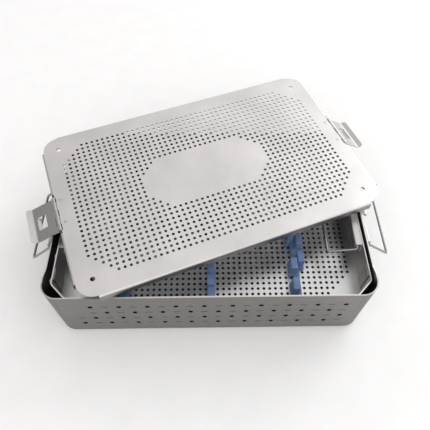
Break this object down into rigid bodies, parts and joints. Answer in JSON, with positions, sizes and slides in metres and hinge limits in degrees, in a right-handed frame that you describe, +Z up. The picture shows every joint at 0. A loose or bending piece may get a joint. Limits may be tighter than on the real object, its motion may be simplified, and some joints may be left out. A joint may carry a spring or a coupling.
{
  "type": "instrument sterilisation case",
  "caption": "Perforated steel instrument case: outer box with wire handles, lift-out basket with silicone holders, and a loose lid with hinged latches.",
  "frame": {"origin": "centre of the outer box's underside", "axes": "+X along the long side, +Y from the front wall to the back wall, +Z up"},
  "size_m": [0.3197, 0.2494, 0.077],
  "materials": {
    "outer_steel": "satin",
    "basket_steel": "satin",
    "lid_steel": "bead-blasted satin",
    "bright_steel": "polished satin",
    "wire": "drawn wire",
    "silicone": "matt"
  },
  "bodies": {
    "outer_box": {"base_pan": "outer_steel", "front_wall": "outer_steel", "back_wall": "outer_steel", "left_wall": "outer_steel", "right_wall": "outer_steel", "wall_corners": "outer_steel", "support_rail_left": "outer_steel", "support_rail_right": "outer_steel", "handle_plate_left": "bright_steel", "handle_plate_right": "bright_steel", "catch_left": "bright_steel", "catch_right": "bright_steel"},
    "carry_handle_left": {"carry_handle_left": "wire"},
    "carry_handle_right": {"carry_handle_right": "wire"},
    "basket": {"basket_floor": "basket_steel", "basket_wall_front": "basket_steel", "basket_wall_back": "basket_steel", "basket_wall_left": "basket_steel", "basket_wall_right": "basket_steel", "basket_corners": "basket_steel", "corner_laps": "basket_steel", "basket_bracket_left": "bright_steel", "basket_bracket_right": "bright_steel", "holder_left": "silicone", "holder_middle": "silicone", "holder_right": "silicone", "holder_left_pegs": "silicone", "holder_middle_pegs": "silicone", "holder_right_pegs": "silicone"},
    "basket_handle_left": {"basket_handle_left": "wire"},
    "basket_handle_right": {"basket_handle_right": "wire"},
    "lid": {"lid_panel": "lid_steel", "lid_flange_front": "lid_steel", "lid_flange_back": "lid_steel", "lid_flange_left": "lid_steel", "lid_flange_right": "lid_steel", "hinge_leaf_left": "bright_steel", "hinge_leaf_right": "bright_steel", "hinge_pin_left": "wire", "hinge_pin_right": "wire"},
    "latch_left": {"latch_left": "lid_steel"},
    "latch_right": {"latch_right": "lid_steel"}
  },
  "joints": [
    {"name": "basket_lift", "type": "slide", "parent": "outer_box", "child": "basket", "axis": [0, 0, 1], "range_m": [0, 0.08]},
    {"name": "lid_lift", "type": "slide", "parent": "basket", "child": "lid", "axis": [0, 0, 1], "range_m": [0, 0.12]},
    {"name": "latch_left_hinge", "type": "hinge", "parent": "lid", "child": "latch_left", "pos_m": [-0.13023, -0.01217, 0.07505], "axis": [-0.3502, 0.9367, 0], "range_deg": [0, 100]},
    {"name": "latch_right_hinge", "type": "hinge", "parent": "lid", "child": "latch_right", "pos_m": [0.12492, 0.08323, 0.07505], "axis": [0.3502, -0.9367, 0], "range_deg": [0, 100]},
    {"name": "carry_handle_left_hinge", "type": "hinge", "parent": "outer_box", "child": "carry_handle_left", "pos_m": [-0.1382, 0, 0.057], "axis": [0, 1, 0], "range_deg": [-42, 43]},
    {"name": "carry_handle_right_hinge", "type": "hinge", "parent": "outer_box", "child": "carry_handle_right", "pos_m": [0.1382, 0, 0.057], "axis": [0, -1, 0], "range_deg": [-47, 38]},
    {"name": "basket_handle_left_hinge", "type": "hinge", "parent": "basket", "child": "basket_handle_left", "pos_m": [-0.1232, -0.0004, 0.061], "axis": [0, -1, 0], "range_deg": [0, 98]},
    {"name": "basket_handle_right_hinge", "type": "hinge", "parent": "basket", "child": "basket_handle_right", "pos_m": [0.1258, -0.0004, 0.061], "axis": [0, 1, 0], "range_deg": [0, 98]}
  ],
  "couplings": [
    {"joint": "basket_handle_left_hinge", "follows": "lid_lift", "rad_per_m": 14.181},
    {"joint": "basket_handle_right_hinge", "follows": "lid_lift", "rad_per_m": 14.181}
  ]
}
